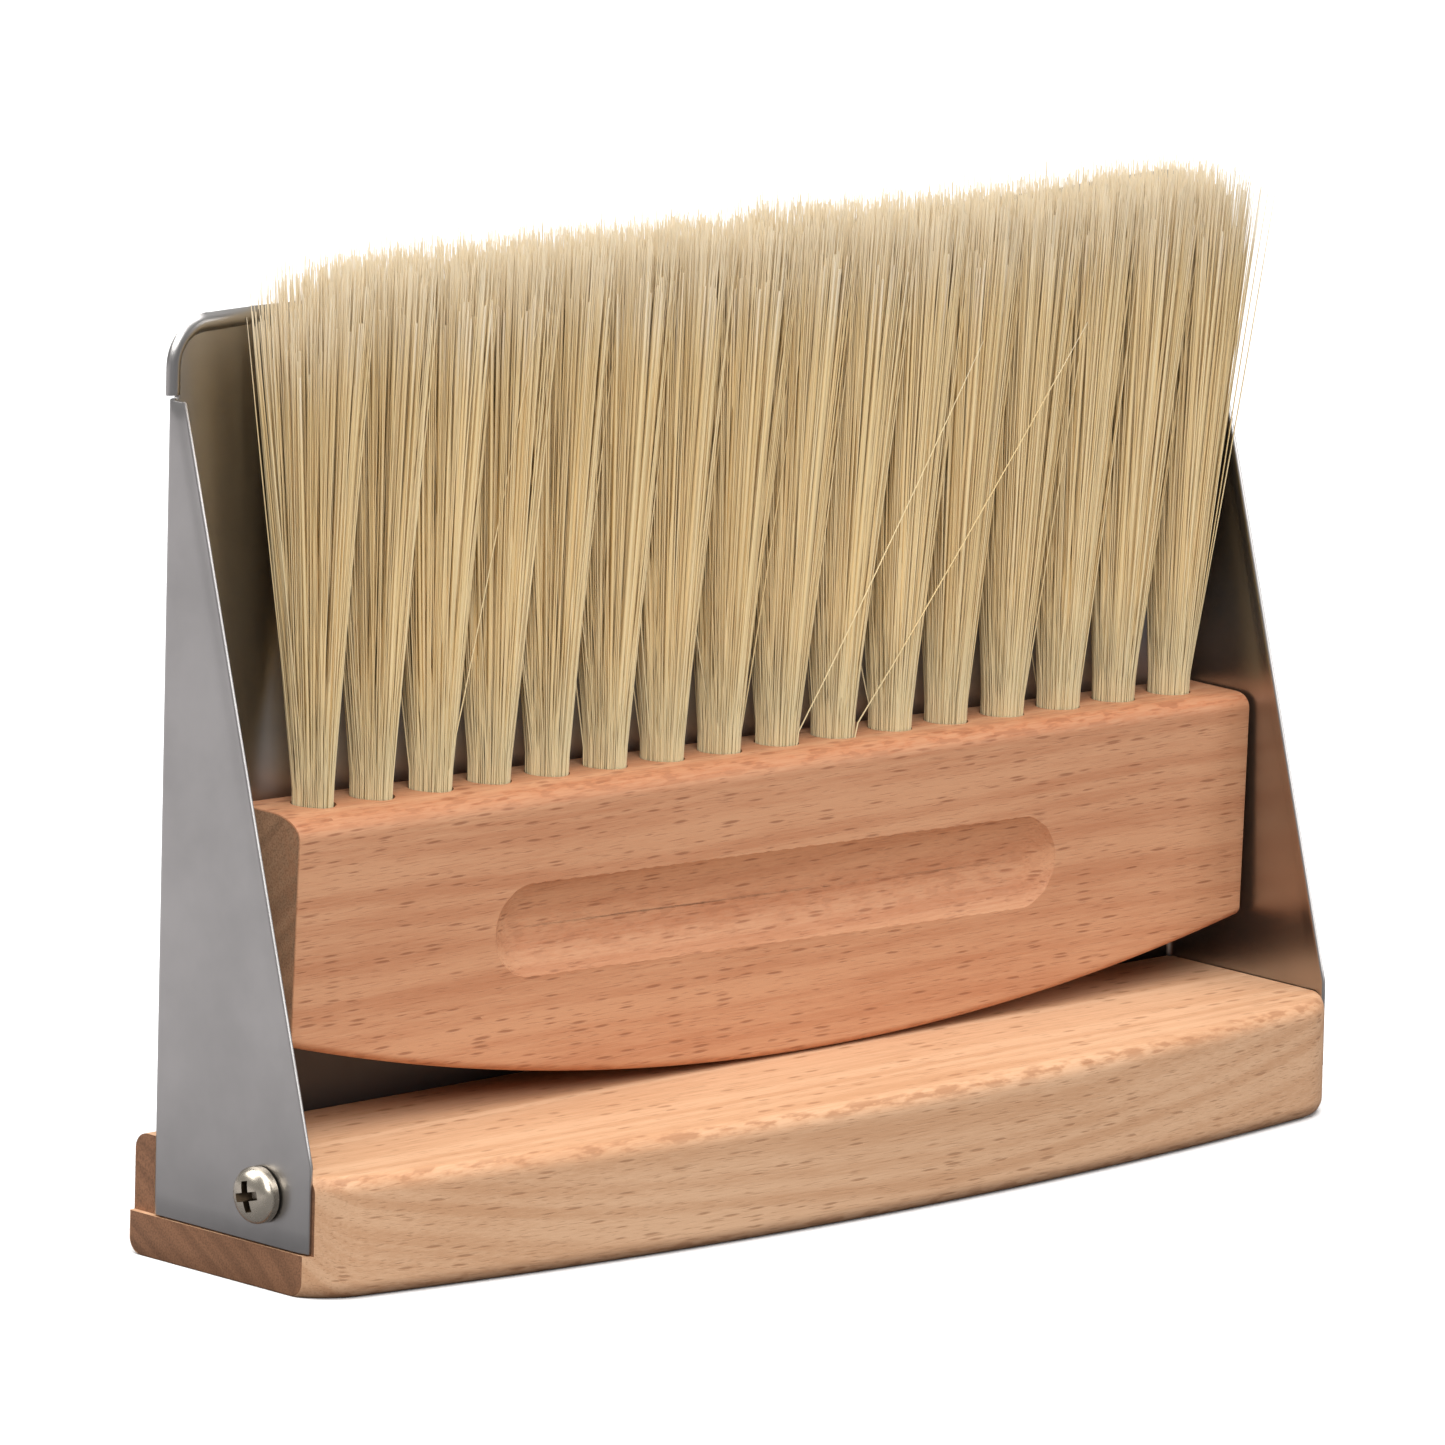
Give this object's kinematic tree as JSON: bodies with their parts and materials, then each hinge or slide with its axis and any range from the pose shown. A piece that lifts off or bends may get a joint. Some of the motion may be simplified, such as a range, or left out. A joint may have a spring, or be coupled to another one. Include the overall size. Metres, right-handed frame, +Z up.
{
  "type": "dust pan and brush set",
  "caption": "Table-size dust pan of bent sheet steel with a bowed beech handle bar, and a beech brush with a row of bristle tufts stored standing in the pan.",
  "frame": {"origin": "on the surface the bar stands on, at the centre of the bounding box's bottom", "axes": "+X along the set to the brush side's right, +Y from the brush side to the pan's back, +Z up"},
  "size_m": [0.2062, 0.0494, 0.1398],
  "materials": {
    "steel_sheet": "satin sheet steel, dark warm reflections inside the pan",
    "bar_beech": "waxed steamed beech, yellowish, short dark flecks",
    "brush_beech": "waxed steamed beech, pinkish, short dark flecks",
    "bristle": "straw-coloured bristle",
    "nickel_screw": "nickel-plated",
    "anchor_wire": "flat drawn wire",
    "magnet": "nickel-plated"
  },
  "bodies": {
    "pan": {"pan_sheet": "steel_sheet", "handle_bar": "bar_beech", "side_screw_left": "nickel_screw", "side_screw_right": "nickel_screw"},
    "brush": {"brush_block": "brush_beech", "brush_magnet_left": "magnet", "brush_magnet_right": "magnet", "tuft_01": "bristle", "tuft_02": "bristle", "tuft_03": "bristle", "tuft_04": "bristle", "tuft_05": "bristle", "tuft_06": "bristle", "tuft_07": "bristle", "tuft_08": "bristle", "tuft_09": "bristle", "tuft_10": "bristle", "tuft_11": "bristle", "tuft_12": "bristle", "tuft_13": "bristle", "tuft_14": "bristle", "tuft_15": "bristle", "tuft_16": "bristle", "tuft_anchor_01": "anchor_wire", "tuft_anchor_02": "anchor_wire", "tuft_anchor_03": "anchor_wire", "tuft_anchor_04": "anchor_wire", "tuft_anchor_05": "anchor_wire", "tuft_anchor_06": "anchor_wire", "tuft_anchor_07": "anchor_wire", "tuft_anchor_08": "anchor_wire", "tuft_anchor_09": "anchor_wire", "tuft_anchor_10": "anchor_wire", "tuft_anchor_11": "anchor_wire", "tuft_anchor_12": "anchor_wire", "tuft_anchor_13": "anchor_wire", "tuft_anchor_14": "anchor_wire", "tuft_anchor_15": "anchor_wire", "tuft_anchor_16": "anchor_wire"}
  },
  "joints": [
    {"name": "brush_pull", "type": "slide", "parent": "pan", "child": "brush", "axis": [0, -1, 0], "range_m": [0, 0.06]}
  ]
}
